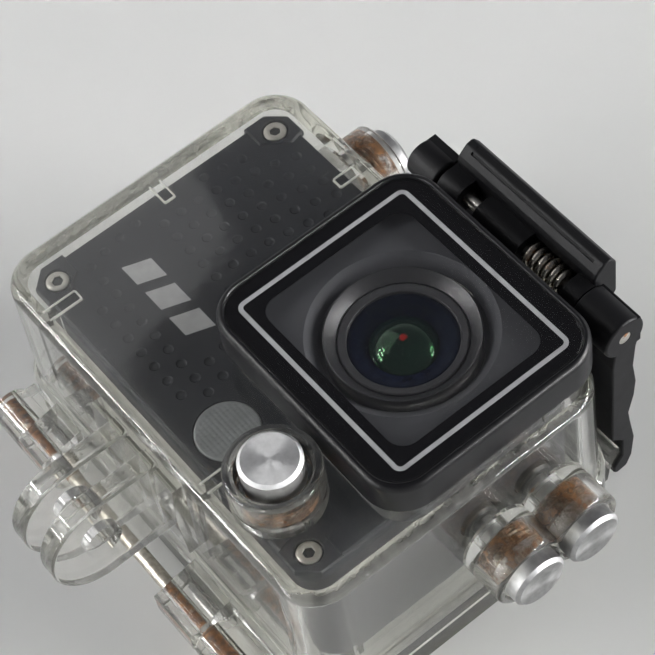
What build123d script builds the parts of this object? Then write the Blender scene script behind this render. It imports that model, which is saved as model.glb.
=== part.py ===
from build123d import *
import os
from math import radians, tan

# An action camera in its clear dive housing, lying on the housing's back door.
# Millimetres. Origin: centre of the door's flat back face. +Z is the way the lens looks, +Y is the
# camera's top (the latch side), +X is the camera's right as seen from the front.

os.makedirs("parts", exist_ok=True)

# ---- driving dimensions: housing ----
WALL = 2.2                    # moulded wall of the clear shell
DRAFT = 1.2                   # degrees of draft on the shell's sides
SIDE_X, SIDE_Y = 33.6, 24.2   # half size of the shell just above its flange
SIDE_CORNER = 6.0
RIM_X, RIM_Y = 34.4, 25.0     # half size of the flange and of the door
RIM_CORNER = 6.8
PARTING_Z = 5.0               # where shell and door meet
FLANGE_TOP_Z = 9.0
FACE_Z = 29.0                 # front face of the shell
EDGE_ROUND = 1.4
GAP = 0.1                     # clearance between loose neighbours

# ---- lens port ----
PORT_X, PORT_Y = 14.2, 7.0
BEZEL_X, BEZEL_Y = 18.7, 16.8
BEZEL_CORNER = 5.6
BEZEL_WALL = 0.95
BEZEL_BOTTOM_Z, BEZEL_TOP_Z = 33.2, 38.6
WINDOW_TOP_Z, WINDOW_THICK = 38.4, 2.0
SEAL_THICK = 0.5
NECK_WALL = 2.0
BAFFLE_THICK = 1.5
BAFFLE_RADIUS = 12.0          # round opening of the baffle at the window

# ---- camera ----
CAMERA_X, CAMERA_Y = -1.0, 0.3
BODY_X, BODY_Y = 29.5, 20.5
BODY_CORNER = 4.5
BODY_WALL = 1.6
BACK_Z, BACK_RIM_Z = 5.5, 8.4
COVER_Z, PLATE_Z = 24.0, 26.3
PLATE_X, PLATE_Y = 29.0, 20.1   # raised dark plate on the front cover
SCREW_X, SCREW_Y = 26.5, 18.0
LENS_OUTER = 11.0
LENS_RING_Z = 36.2
LENS_GLASS_RADIUS = 6.95

# ---- push buttons ----
TRAVEL = 1.0
STEM_RADIUS = 1.5
STEM_HOLE = 1.55
CAP_RADIUS = 4.0
BOSS_HEIGHT = 6.7
BOSS_ROUND = 0.6
CAP_STAND = 1.9               # how far a cap stands out of its boss
WIRE = 0.35                   # radius of the spring wire
POCKET_RADIUS = 3.3
CLIP_THICK = 0.5
POCKET_DEPTH = TRAVEL + CLIP_THICK + 0.4  # pocket for the clip, cut from inside the wall
GUIDE_TOP = 1.6               # bottom of the spring's bore above the wall

# ---- mount fingers ----
FINGER_THICK = 3.0
FINGER_GAP = 3.2
FINGER_RADIUS = 7.6
FINGER_BORE = 2.6
FINGER_ROUND = 0.4
FINGER_Y, FINGER_Z = -34.2, 21.4

# ---- door hinge ----
HINGE_Y, HINGE_Z = -28.8, 4.0
HINGE_PIN_RADIUS = 1.0
HINGE_BARREL = 2.9
HINGE_HOLE = 1.05
KNUCKLE_ROUND = 0.35

# ---- latch ----
PIVOT_Y, PIVOT_Z = 26.4, 21.5   # lever in the shell's lugs
AXLE_Y, AXLE_Z = 27.5, 33.0     # hook arm on the lever
LATCH_PIN = 0.9
LATCH_HOLE = 0.95
GRIP_X0, GRIP_X1 = -1.5, 24.2
ARM_LEFT = (-7.1, -1.9)
ARM_RIGHT = (24.6, 31.2)
HOOK_SLOPE = 50.0             # degrees: ramp of the hook and of the door's lip
LATCH_ROUND = 0.3

nodes = {}


def rounded_block(half_x, half_y, corner, z0, z1, x=0.0, y=0.0, taper=0.0):
    """A block with rounded corners in plan, from z0 to z1, that may narrow upwards."""
    outline = Pos(x, y, z0) * RectangleRounded(2 * half_x, 2 * half_y, corner)
    return extrude(outline, z1 - z0, taper=taper)


def box_between(x0, x1, y0, y1, z0, z1):
    return Pos((x0 + x1) / 2, (y0 + y1) / 2, (z0 + z1) / 2) * Box(x1 - x0, y1 - y0, z1 - z0)


def rod_z(radius, z0, z1, x=0.0, y=0.0):
    return Pos(x, y, (z0 + z1) / 2) * Cylinder(radius, z1 - z0)


def rod_x(radius, x0, x1, y, z):
    return Pos((x0 + x1) / 2, y, z) * Rot(0, 90, 0) * Cylinder(radius, x1 - x0)


def tube_z(outer, inner, z0, z1, x=0.0, y=0.0):
    return rod_z(outer, z0, z1, x, y) - rod_z(inner, z0 - 1, z1 + 1, x, y)


def slab_x(points, x0, x1, edge_round=0.0):
    """A profile of (y, z) points, extruded along X from x0 to x1, with its two end outlines rounded."""
    plane = Plane(origin=(x0, 0, 0), x_dir=(0, 1, 0), z_dir=(1, 0, 0))
    slab = extrude(plane * make_face(Polyline(*points, close=True)), x1 - x0)
    if edge_round:
        slab = fillet(slab.edges().filter_by(Axis.X), 2 * edge_round)
        slab = fillet(slab.faces().filter_by(Axis.X).edges(), edge_round)
    return slab


def turned(points):
    """A solid of revolution about Z from (radius, z) points."""
    return revolve(Plane.XZ * make_face(Polyline(*points, close=True)), Axis.Z)


def side_inset(z):
    """How far the shell's side has drawn in at height z."""
    return (z - FLANGE_TOP_Z) * tan(radians(DRAFT))


# ---------------------------------------------------------------- push buttons
BUTTONS = {
    # name: (point on the wall's outer face, outward direction, boss radius, bore radius, stem tip depth)
    "front": ((17.9, -16.0, FACE_Z), (0, 0, 1), 6.1, 4.9, 1.95),
    "top": ((-21.0, SIDE_Y - side_inset(16), 16.0), (0, 1, 0), 5.8, 4.6, 2.75),
    "side_a": ((SIDE_X - side_inset(15), 3.9, 15.2), (1, 0, 0), 5.3, 4.1, 3.95),
    "side_b": ((SIDE_X - side_inset(15), 12.8, 15.2), (1, 0, 0), 5.3, 4.1, 3.95),
}


def at_button(name):
    point, outward, _, _, _ = BUTTONS[name]
    across = (0, 1, 0) if outward == (1, 0, 0) else (1, 0, 0)
    return Plane(origin=point, x_dir=across, z_dir=outward).location


def button_boss(name):
    _, _, boss, _, _ = BUTTONS[name]
    body = rod_z(boss, -WALL * 0.6, BOSS_HEIGHT)
    return at_button(name) * fillet(body.edges().sort_by(Axis.Z)[-1], BOSS_ROUND)


def button_hollow(name):
    _, _, _, bore, _ = BUTTONS[name]
    hollow = rod_z(bore, GUIDE_TOP, BOSS_HEIGHT + 1)
    hollow += Pos(0, 0, BOSS_HEIGHT) * Cone(bore, bore + 0.6, 0.6)
    hollow += rod_z(STEM_HOLE, -WALL - 1, GUIDE_TOP + 0.5)
    hollow += rod_z(POCKET_RADIUS, -WALL - 1.2, POCKET_DEPTH - WALL)
    return at_button(name) * hollow


def make_button(name):
    _, _, _, bore, tip = BUTTONS[name]
    radius = min(CAP_RADIUS, bore - 0.2)
    head_z0 = BOSS_HEIGHT - 2.3
    head_z1 = BOSS_HEIGHT + CAP_STAND
    bevel = 0.45
    clip_z1 = POCKET_DEPTH - WALL - 0.1
    clip_z0 = clip_z1 - CLIP_THICK
    neck = STEM_RADIUS - 0.3
    cap = turned([
        (0, -tip), (STEM_RADIUS, -tip), (STEM_RADIUS, clip_z0), (neck, clip_z0), (neck, clip_z1),
        (STEM_RADIUS, clip_z1), (STEM_RADIUS, head_z0), (radius, head_z0),
        (radius, head_z1 - bevel), (radius - bevel, head_z1), (0, head_z1)])
    clip = tube_z(STEM_RADIUS + 1.3, neck + 0.02, clip_z0, clip_z1)
    clip -= box_between(-0.8, 0.8, 0, 4, clip_z0 - 1, clip_z1 + 1)
    coil_radius = radius - WIRE - 0.15
    coil_z0 = GUIDE_TOP + WIRE + 0.05
    coil_z1 = head_z0 - WIRE - 0.05
    path = Helix(pitch=(coil_z1 - coil_z0) / 3.5, height=coil_z1 - coil_z0, radius=coil_radius)
    spring = sweep(Plane(origin=path @ 0, z_dir=path % 0) * Circle(WIRE), path)
    seal_centre = STEM_RADIUS + 0.05 + 0.45
    seal_z = GUIDE_TOP + 0.45
    ring = revolve(Plane.XZ * Pos(seal_centre, seal_z) * Circle(0.45), Axis.Z)
    place = at_button(name)
    nodes[name + "_button_cap"] = place * cap
    nodes[name + "_button_clip"] = place * clip
    nodes[name + "_button_spring"] = place * Pos(0, 0, coil_z0) * spring
    nodes[name + "_button_seal"] = place * ring
    return tip


# ---------------------------------------------------------------- housing shell
def barrel_x(x0, x1, y, z, radius):
    """A knuckle with eased ends."""
    knuckle = rod_x(radius, x0, x1, y, z)
    return fillet(knuckle.edges().filter_by(GeomType.CIRCLE), KNUCKLE_ROUND)


DOOR_KNUCKLES = ((-31.5, -24.4), (15.4, 24.4))
SHELL_KNUCKLES = ((-24.2, -18.4), (7.4, 15.2))
LEVER_KNUCKLES = ((-1.3, 3.2), (7.8, 13.0), (17.6, 24.0))
LUGS = ((3.4, 7.6), (13.2, 17.4))
NECK_TOP_Z = WINDOW_TOP_Z - WINDOW_THICK - SEAL_THICK
NECK_X, NECK_Y = BEZEL_X - BEZEL_WALL - GAP, BEZEL_Y - BEZEL_WALL - GAP


def locating_ribs():
    """Small clear tongues from the walls over the camera's front plate, and their wedges below."""
    tongue_z0, tongue_z1 = PLATE_Z + 0.15, FACE_Z - WALL + 0.2
    wall_y = SIDE_Y - WALL
    ribs = []
    for x in (-23.6, 10.4):
        ribs.append(box_between(x - 1.0, x + 1.0, -wall_y - 0.5, -16.8, tongue_z0, tongue_z1))
        ribs.append(box_between(x - 0.5, x + 0.5, -wall_y - 0.5, -20.4, 12.0, tongue_z1))
    ribs.append(box_between(-15.6, -13.6, 18.6, wall_y + 0.3, tongue_z0, tongue_z1))
    ribs.append(box_between(-32.0, -27.6, 0.0, 1.8, tongue_z0, tongue_z1))
    return ribs


def make_shell():
    walls = rounded_block(SIDE_X, SIDE_Y, SIDE_CORNER, FLANGE_TOP_Z, FACE_Z, taper=DRAFT)
    walls = fillet(walls.faces().sort_by(Axis.Z)[-1].edges(), EDGE_ROUND)
    flange = rounded_block(RIM_X, RIM_Y, RIM_CORNER, PARTING_Z, FLANGE_TOP_Z)
    flange = chamfer(flange.faces().sort_by(Axis.Z)[-1].edges(), 0.5)
    neck = rounded_block(NECK_X, NECK_Y, BEZEL_CORNER - 1, FACE_Z - 2.5, NECK_TOP_Z, PORT_X, PORT_Y)
    outside = walls + flange + neck
    for name in BUTTONS:
        outside += button_boss(name)
    for x0, x1 in LUGS:
        # each lug is a rounded tongue that holds the lever's pin off the top wall
        tongue = [(22.6, 17.0), (26.0, 18.6), (28.1, 20.4), (28.1, 22.6), (27.3, 23.6), (22.6, 26.4)]
        outside += slab_x(tongue, x0, x1)
    for x0, x1 in SHELL_KNUCKLES:
        outside += barrel_x(x0, x1, HINGE_Y, HINGE_Z, HINGE_BARREL)
        outside += slab_x([(HINGE_Y - HINGE_BARREL, HINGE_Z), (HINGE_Y - HINGE_BARREL, 7.2),
                           (-23.5, FLANGE_TOP_Z), (-23.5, PARTING_Z + 0.15), (-26.0, PARTING_Z + 0.15),
                           (-26.0, HINGE_Z)], x0, x1)
    cavity = rounded_block(SIDE_X - WALL, SIDE_Y - WALL, SIDE_CORNER - WALL, PARTING_Z - 1,
                           FACE_Z - WALL, taper=DRAFT)
    shell = outside - cavity
    shell -= rounded_block(NECK_X - NECK_WALL, NECK_Y - NECK_WALL, BEZEL_CORNER - NECK_WALL,
                           FACE_Z - WALL - 1, NECK_TOP_Z + 1, PORT_X, PORT_Y)
    for rib in locating_ribs():
        shell += rib
    for name in BUTTONS:
        shell -= button_hollow(name)
    shell -= rod_x(HINGE_HOLE, -40, 40, HINGE_Y, HINGE_Z)
    shell -= rod_x(LATCH_HOLE, LUGS[0][0] - 1, LUGS[1][1] + 1, PIVOT_Y, PIVOT_Z)
    nodes["housing_front_shell"] = shell


def make_fingers():
    wall_y = -SIDE_Y + side_inset(FINGER_Z)
    half_gap = FINGER_GAP / 2
    fingers = []
    for side in (-1, 1):
        x0, x1 = sorted((side * half_gap, side * (half_gap + FINGER_THICK)))
        finger = rod_x(FINGER_RADIUS, x0, x1, FINGER_Y, FINGER_Z)
        finger += box_between(x0, x1, FINGER_Y, wall_y - 0.4, FINGER_Z - FINGER_RADIUS,
                              FINGER_Z + FINGER_RADIUS)
        finger = fillet(finger.faces().filter_by(Axis.X).edges(), FINGER_ROUND)
        fingers.append(finger)
    low, high = FINGER_Z - FINGER_RADIUS - 0.8, FINGER_Z + FINGER_RADIUS - 0.9
    # flared block that follows the wall's draft on its inner face
    lean = tan(radians(DRAFT))
    base = slab_x([(wall_y - lean * (FINGER_Z - low), low), (wall_y + lean * (high - FINGER_Z), high),
                   (wall_y - 1.4, high), (wall_y - 2.0, FINGER_Z), (wall_y - 1.7, low)], -8.6, 8.6)
    block = base + fingers[0] + fingers[1]
    block -= rod_x(FINGER_BORE, -6, 6, FINGER_Y, FINGER_Z)
    nodes["mount_fingers"] = block


def make_port():
    bezel = rounded_block(BEZEL_X, BEZEL_Y, BEZEL_CORNER, BEZEL_BOTTOM_Z, BEZEL_TOP_Z, PORT_X, PORT_Y)
    bezel = fillet(bezel.faces().sort_by(Axis.Z)[-1].edges(), 0.7)
    bezel -= rounded_block(BEZEL_X - BEZEL_WALL, BEZEL_Y - BEZEL_WALL, BEZEL_CORNER - BEZEL_WALL,
                           BEZEL_BOTTOM_Z - 1, BEZEL_TOP_Z + 1, PORT_X, PORT_Y)
    nodes["port_bezel"] = bezel
    window_z0 = WINDOW_TOP_Z - WINDOW_THICK
    window = rounded_block(NECK_X, NECK_Y, BEZEL_CORNER - 1, window_z0, WINDOW_TOP_Z, PORT_X, PORT_Y)
    nodes["port_window"] = chamfer(window.faces().sort_by(Axis.Z)[-1].edges(), 0.2)
    seal = rounded_block(NECK_X - 0.2, NECK_Y - 0.2, BEZEL_CORNER - 1.2, NECK_TOP_Z, window_z0,
                         PORT_X, PORT_Y)
    seal -= rounded_block(NECK_X - 1.8, NECK_Y - 1.8, BEZEL_CORNER - 2.5, NECK_TOP_Z - 1, window_z0 + 1,
                          PORT_X, PORT_Y)
    nodes["port_window_seal"] = seal
    baffle_top = window_z0 - 0.05
    baffle = rounded_block(NECK_X - NECK_WALL - GAP, NECK_Y - NECK_WALL - GAP,
                           BEZEL_CORNER - NECK_WALL - 0.1, baffle_top - BAFFLE_THICK, baffle_top,
                           PORT_X, PORT_Y)
    cone = turned([(0, baffle_top - BAFFLE_THICK - 1), (10.4, baffle_top - BAFFLE_THICK - 1),
                   (10.4, baffle_top - BAFFLE_THICK), (BAFFLE_RADIUS, baffle_top),
                   (BAFFLE_RADIUS, baffle_top + 1), (0, baffle_top + 1)])
    nodes["port_baffle"] = baffle - Pos(PORT_X, PORT_Y, 0) * cone


# ---------------------------------------------------------------- back door and its hinge
def make_door():
    seat_x, seat_y = RIM_X - 1.0, RIM_Y - 1.0
    seat_z, floor_z = 3.6, 2.2
    door = rounded_block(RIM_X, RIM_Y, RIM_CORNER, 0, PARTING_Z - 0.1)
    door = chamfer(door.faces().sort_by(Axis.Z)[0].edges(), 0.7)
    door -= rounded_block(seat_x, seat_y, RIM_CORNER - 1.0, seat_z, PARTING_Z + 1)
    door -= rounded_block(seat_x - 2.2, seat_y - 2.2, RIM_CORNER - 3.2, floor_z, seat_z + 1)
    for side_x in (-1, 1):
        for side_y in (-1, 1):
            # pads that keep the camera against the front of the shell
            x, y = CAMERA_X + side_x * 26.4, CAMERA_Y + side_y * 17.6
            door += box_between(x - 2.2, x + 2.2, y - 2.2, y + 2.2, floor_z - 0.1, BACK_Z - GAP)
    for x0, x1 in DOOR_KNUCKLES:
        door += barrel_x(x0, x1, HINGE_Y, HINGE_Z, HINGE_BARREL)
        door += slab_x([(HINGE_Y, HINGE_Z - HINGE_BARREL), (-24.6, 0.8), (-24.6, PARTING_Z - 0.1),
                        (HINGE_Y, PARTING_Z - 0.1)], x0, x1)
    nose_y, nose_z = 26.9, 5.4
    inner_y = RIM_Y + 0.25
    drop = (nose_y - inner_y) * tan(radians(HOOK_SLOPE))
    lip = [(24.4, 1.2), (RIM_Y - 0.1, 1.2), (inner_y, nose_z - drop - 0.4), (inner_y, nose_z - drop),
           (nose_y, nose_z), (nose_y, 7.2), (26.3, 7.8), (inner_y, 7.8), (inner_y, PARTING_Z - 0.1),
           (24.4, PARTING_Z - 0.1)]
    door += slab_x(lip, ARM_LEFT[0] + 0.4, ARM_RIGHT[1] - 0.4)
    door -= rod_x(HINGE_HOLE, -40, 40, HINGE_Y, HINGE_Z)
    nodes["back_door"] = door
    seal = rounded_block(seat_x - GAP, seat_y - GAP, RIM_CORNER - 1.1, seat_z, PARTING_Z - 0.04)
    seal -= rounded_block(seat_x - 1.6, seat_y - 1.6, RIM_CORNER - 2.6, seat_z - 1, PARTING_Z + 1)
    nodes["door_seal"] = seal
    pin = rod_x(HINGE_PIN_RADIUS, -31.2, 24.2, HINGE_Y, HINGE_Z)
    nodes["door_hinge_pin"] = chamfer(pin.edges(), 0.25)


# ---------------------------------------------------------------- latch
def make_latch():
    grip = slab_x([(28.9, 29.8), (31.9, 29.8), (32.6, 31.0), (32.6, 36.9), (31.7, 38.2), (30.6, 38.0),
                   (29.3, 36.9), (28.9, 36.2)], GRIP_X0, GRIP_X1, LATCH_ROUND)
    for y, z, tilt in ((30.15, 37.75, 30), (31.1, 38.35, 15)):
        groove = Pos((GRIP_X0 + GRIP_X1) / 2, y, z) * Rot(tilt, 0, 0) * Box(
            GRIP_X1 - GRIP_X0 - 3.0, 0.45, 0.7)
        grip -= groove
    spine = slab_x([(28.0, 20.4), (29.4, 22.4), (31.0, 29.8), (31.4, 31.5), (28.95, 31.5), (28.4, 26.0),
                    (27.4, 22.8)], GRIP_X0 + 0.2, GRIP_X1 - 0.2)
    lever = grip + spine
    for x0, x1 in ((GRIP_X0, 2.2), (5.3, 13.4), (21.5, GRIP_X1)):
        lever += rod_x(2.3, x0, x1, AXLE_Y, AXLE_Z)
        lever += box_between(x0, x1, AXLE_Y, 29.6, AXLE_Z - 2.3, AXLE_Z + 2.3)
    for x0, x1 in LEVER_KNUCKLES:
        lever += barrel_x(x0, x1, PIVOT_Y, PIVOT_Z, 2.2)
        lever += slab_x([(PIVOT_Y + 1.2, PIVOT_Z - 1.6), (29.0, PIVOT_Z - 0.2), (29.4, 24.5),
                         (26.6, PIVOT_Z + 1.8)], x0, x1)
    lever -= rod_x(2.15, 13.5, 21.4, AXLE_Y, AXLE_Z)
    for x0, x1 in LUGS:
        # room for the lug, also while the lever turns down and out
        lever -= rod_x(5.5, x0 - 0.2, x1 + 0.2, PIVOT_Y, PIVOT_Z)
    lever -= rod_x(LATCH_HOLE, -12, 34, AXLE_Y, AXLE_Z)
    lever -= rod_x(LATCH_HOLE, -12, 34, PIVOT_Y, PIVOT_Z)
    nodes["latch_lever"] = lever
    nodes["latch_lever_pin"] = rod_x(LATCH_PIN, LEVER_KNUCKLES[0][0] + 0.2, LEVER_KNUCKLES[2][1] - 0.2,
                                     PIVOT_Y, PIVOT_Z)
    nodes["latch_arm_pin"] = rod_x(LATCH_PIN, ARM_LEFT[0] + 0.3, ARM_RIGHT[1] - 0.05, AXLE_Y, AXLE_Z)
    make_arm()
    coil_x0, coil_x1 = 13.6, 21.2
    wire = 0.42
    path = Helix(pitch=1.12, height=coil_x1 - coil_x0 - 2 * wire, radius=1.55)
    coil = sweep(Plane(origin=path @ 0, z_dir=path % 0) * Circle(wire), path)
    nodes["latch_torsion_spring"] = Pos(coil_x0 + wire, AXLE_Y, AXLE_Z) * Rot(0, 90, 0) * coil


def make_arm():
    """Hook arm: two end knuckles on the axle, two legs, and a bar with a ramped hook under the lip."""
    leg = [(AXLE_Y - 1.6, AXLE_Z - 2.0), (25.5, 28.0), (25.4, 11.0), (27.15, 9.2), (27.15, 5.0),
           (28.9, 4.0), (29.3, 8.0), (28.6, 12.6), (28.3, 15.0), (29.2, 18.4), (29.5, 21.4), (29.0, 25.4),
           (29.4, 29.6), (AXLE_Y + 2.6, AXLE_Z - 1.0)]
    toe_y, nose_y, nose_z = 25.75, 27.15, 5.35
    drop = (nose_y - toe_y) * tan(radians(HOOK_SLOPE))
    bar = [(27.15, 9.2), (nose_y, nose_z), (toe_y, nose_z - drop), (toe_y, 2.5), (26.2, 1.9),
           (28.0, 2.1), (28.9, 4.0), (29.3, 8.0), (28.8, 10.4), (28.0, 10.8)]
    arm = slab_x(bar, ARM_LEFT[0], ARM_RIGHT[1], LATCH_ROUND)
    for (x0, x1), knuckle in ((ARM_LEFT, 2.6), (ARM_RIGHT, 3.1)):
        arm += slab_x(leg, x0, x1, LATCH_ROUND)
        arm += barrel_x(x0, x1, AXLE_Y, AXLE_Z, knuckle)
        arm += box_between(x0, x1, AXLE_Y, AXLE_Y + 2.5, AXLE_Z - 2.6, AXLE_Z + 2.2)
    arm -= rod_x(LATCH_HOLE, -12, 34, AXLE_Y, AXLE_Z)
    nodes["latch_arm"] = arm


# ---------------------------------------------------------------- camera body
def camera_block(inset, z0, z1):
    return rounded_block(BODY_X - inset, BODY_Y - inset, BODY_CORNER - min(inset, 3.0), z0, z1,
                         CAMERA_X, CAMERA_Y)


SCREW_PLACES = [(CAMERA_X + sx * SCREW_X, CAMERA_Y + sy * SCREW_Y) for sx in (-1, 1) for sy in (-1, 1)]
DIFFUSER = (5.5, -14.7)


def make_front_cover():
    cover = camera_block(0.0, COVER_Z, PLATE_Z - 0.5)
    cover = chamfer(cover.faces().sort_by(Axis.Z)[-1].edges(), 1.0)
    plate = rounded_block(PLATE_X, PLATE_Y, 2.0, COVER_Z + 1.0, PLATE_Z - 0.2, CAMERA_X, CAMERA_Y)
    cover += plate
    for x, y in SCREW_PLACES:
        cover += rod_z(2.9, COVER_Z + 1.0, PLATE_Z, x, y)
    cover -= rod_z(LENS_OUTER + GAP, COVER_Z - 1, PLATE_Z + 1, PORT_X, PORT_Y)
    cover -= rod_z(2.65, COVER_Z - 1, PLATE_Z + 1, BUTTONS["front"][0][0], BUTTONS["front"][0][1])
    cover -= rod_z(4.4, PLATE_Z - 1.1, PLATE_Z + 1, *DIFFUSER)
    cover -= rod_z(2.0, COVER_Z - 1, PLATE_Z + 1, *DIFFUSER)
    for x, y in SCREW_PLACES:
        cover -= rod_z(0.85, COVER_Z - 1, PLATE_Z + 1, x, y)
        cover -= rod_z(1.8, PLATE_Z - 0.9, PLATE_Z + 1, x, y)
    nodes["camera_front_cover"] = cover
    screws = []
    for x, y in SCREW_PLACES:
        head_z0, head_z1 = PLATE_Z - 0.9, PLATE_Z + 0.1
        screw = rod_z(1.6, head_z0, head_z1, x, y) + rod_z(0.8, COVER_Z - 3.5, head_z0, x, y)
        socket = Pos(x, y, head_z1 - 0.6) * extrude(RegularPolygon(0.75, 6), 1.0)
        screws.append(screw - socket)
    nodes["front_cover_screws"] = Compound(children=[s.solids()[0] for s in screws])


def make_camera_frame():
    frame = camera_block(0.0, BACK_RIM_Z, COVER_Z) - camera_block(BODY_WALL, BACK_RIM_Z - 1, COVER_Z + 1)
    for x, y in SCREW_PLACES:
        frame += rod_z(1.9, BACK_RIM_Z + 0.1, COVER_Z, x * 0.985, y * 0.985)
    for x, y in SCREW_PLACES:
        frame -= rod_z(0.85, COVER_Z - 4.5, COVER_Z + 1, x, y)
    right, left = CAMERA_X + BODY_X, CAMERA_X - BODY_X
    top, bottom = CAMERA_Y + BODY_Y, CAMERA_Y - BODY_Y
    for name in ("side_a", "side_b"):
        _, y, z = BUTTONS[name][0]
        frame -= Pos(right - 1, y, z) * Rot(0, 90, 0) * Cylinder(2.8, 6)
    x, _, z = BUTTONS["top"][0]
    frame -= Pos(x, top - 1, z) * Rot(90, 0, 0) * Cylinder(3.1, 6)
    frame -= Pos(4, top - 1, 14) * Rot(90, 0, 0) * Cylinder(0.6, 6)
    frame -= box_between(left - 1, left + 3, 4.4, 12.6, 13.8, 17.4)
    frame -= box_between(left - 1, left + 3, -9.2, 2.4, 13.6, 17.6)
    frame -= box_between(left - 1, left + 3, -16.5, -13.5, 10.5, 22.5)
    frame -= box_between(-24.1, 10.1, bottom - 1, bottom + 3, 9.3, 17.7)
    nodes["camera_frame"] = frame
    door = box_between(-24, 10, bottom, bottom + BODY_WALL, 9.4, 17.6)
    door = fillet(door.edges().filter_by(Axis.Y), 0.6)
    nodes["battery_door"] = door - box_between(-3.0, 3.0, bottom - 1, bottom + 0.5, 15.6, 16.6)


def make_back_cover():
    cover = camera_block(0.0, BACK_Z, BACK_RIM_Z)
    cover = chamfer(cover.faces().sort_by(Axis.Z)[0].edges(), 0.8)
    cover -= rounded_block(24.3, 16.8, 1.2, BACK_Z - 1, BACK_RIM_Z + 1, CAMERA_X, CAMERA_Y)
    nodes["camera_back_cover"] = cover
    nodes["display"] = rounded_block(24.2, 16.7, 1.1, BACK_Z + 0.1, BACK_Z + 1.9, CAMERA_X, CAMERA_Y)


def make_lens():
    here = Pos(PORT_X, PORT_Y, 0)
    ring_low = 33.0
    nodes["lens_housing"] = here * turned([
        (8.2, 20.5), (LENS_OUTER, 20.5), (LENS_OUTER, ring_low - 0.6), (LENS_OUTER - 0.6, ring_low),
        (8.2, ring_low)])
    nodes["lens_bezel_ring"] = here * turned([
        (8.2, ring_low), (10.0, ring_low), (9.75, LENS_RING_Z - 0.25), (9.5, LENS_RING_Z),
        (8.6, LENS_RING_Z - 0.15), (8.35, LENS_RING_Z - 0.9), (LENS_GLASS_RADIUS + 0.1, LENS_RING_Z - 1.0),
        (LENS_GLASS_RADIUS + 0.1, LENS_RING_Z - 1.5), (8.2, LENS_RING_Z - 1.5)])
    nodes["lens_barrel"] = here * turned([
        (6.2, 20.6), (8.1, 20.6), (8.1, LENS_RING_Z - 1.6), (LENS_GLASS_RADIUS, LENS_RING_Z - 1.6),
        (LENS_GLASS_RADIUS, 30.6), (6.2, 30.6)])
    dome_radius = 11.0
    rim_z = 32.9
    crown = dome_radius - (dome_radius ** 2 - (LENS_GLASS_RADIUS - GAP) ** 2) ** 0.5
    ball = Pos(0, 0, rim_z + crown - dome_radius) * Sphere(dome_radius)
    nodes["front_lens"] = here * (rod_z(LENS_GLASS_RADIUS - GAP, 30.8, rim_z + crown + 1) & ball)
    rear_ball = Pos(0, 0, 28.6 - 9.0) * Sphere(9.0)
    nodes["rear_lens"] = here * (rod_z(5.9, 25.0, 29.5) & rear_ball)
    nodes["lens_holder"] = here * (tube_z(6.1, 3.6, 22.0, 24.9) + tube_z(6.1, 5.0, 20.6, 22.0))


def make_electronics():
    nodes["image_sensor"] = box_between(PORT_X - 3.6, PORT_X + 3.6, PORT_Y - 3.0, PORT_Y + 3.0, 19.3, 20.4)
    nodes["sensor_board"] = box_between(PORT_X - 8, PORT_X + 8, PORT_Y - 8, PORT_Y + 8, 18.2, 19.3)
    nodes["main_board"] = box_between(-24.6, 22.6, -15.6, 16.2, 16.7, 17.7)
    nodes["battery"] = box_between(-24.5, 9.8, -16.4, 13.0, 9.4, 15.0)
    nodes["card_socket"] = (box_between(-27.2, -12.0, -8.0, 6.2, 18.0, 20.2)
                            - box_between(-28.0, -13.0, -6.6, 4.8, 18.7, 19.7))
    nodes["memory_card"] = box_between(-27.1, -13.1, -6.4, 4.6, 18.8, 19.6)
    nodes["speaker"] = rod_z(6.4, 9.4, 12.4, 18.0, -8.0)
    nodes["microphone"] = box_between(2.4, 5.6, 14.6, 18.0, 12.6, 15.4)
    nodes["usb_socket"] = (box_between(-30.4, -25.6, 4.6, 12.4, 14.0, 16.6)
                           - box_between(-31, -26.4, 5.2, 11.8, 14.6, 16.0))
    nodes["hdmi_socket"] = (box_between(-30.4, -25.6, -9.0, 2.2, 15.2, 16.6)
                            - box_between(-31, -26.4, -8.4, 1.6, 15.7, 16.2))
    nodes["indicator_led"] = box_between(DIFFUSER[0] - 1, DIFFUSER[0] + 1, DIFFUSER[1] - 1,
                                         DIFFUSER[1] + 1, 17.8, 18.9)
    diffuser = rod_z(4.3, PLATE_Z - 1.0, PLATE_Z, *DIFFUSER) + rod_z(1.9, 21.0, PLATE_Z - 1.0, *DIFFUSER)
    nodes["light_diffuser"] = diffuser


def make_camera_buttons(tips):
    """The camera's own buttons, each just under the tip of the housing button that presses it."""
    sizes = {"front": (2.5, 3.8), "top": (2.9, 3.4), "side_a": (2.6, 3.2), "side_b": (2.6, 3.2)}
    for name, (radius, length) in sizes.items():
        top = -tips[name] - 0.05
        knob = rod_z(radius, top - length, top)
        knob = chamfer(knob.faces().sort_by(Axis.Z)[-1].edges(), 0.35)
        nodes["camera_" + name + "_button"] = at_button(name) * knob


make_shell()
make_fingers()
make_port()
make_door()
make_latch()
button_tips = {name: make_button(name) for name in BUTTONS}
make_front_cover()
make_camera_frame()
make_back_cover()
make_lens()
make_electronics()
make_camera_buttons(button_tips)

for node, shape in nodes.items():
    export_step(shape, "parts/" + node + ".step")
print(len(nodes), "nodes")
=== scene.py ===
from math import asin, cos, pi, radians, sin, sqrt

import bmesh
import bpy
from mathutils import Matrix, Vector
from mathutils.bvhtree import BVHTree
from mathutils.geometry import delaunay_2d_cdt
from mathutils.interpolate import poly_3d_calc

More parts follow.
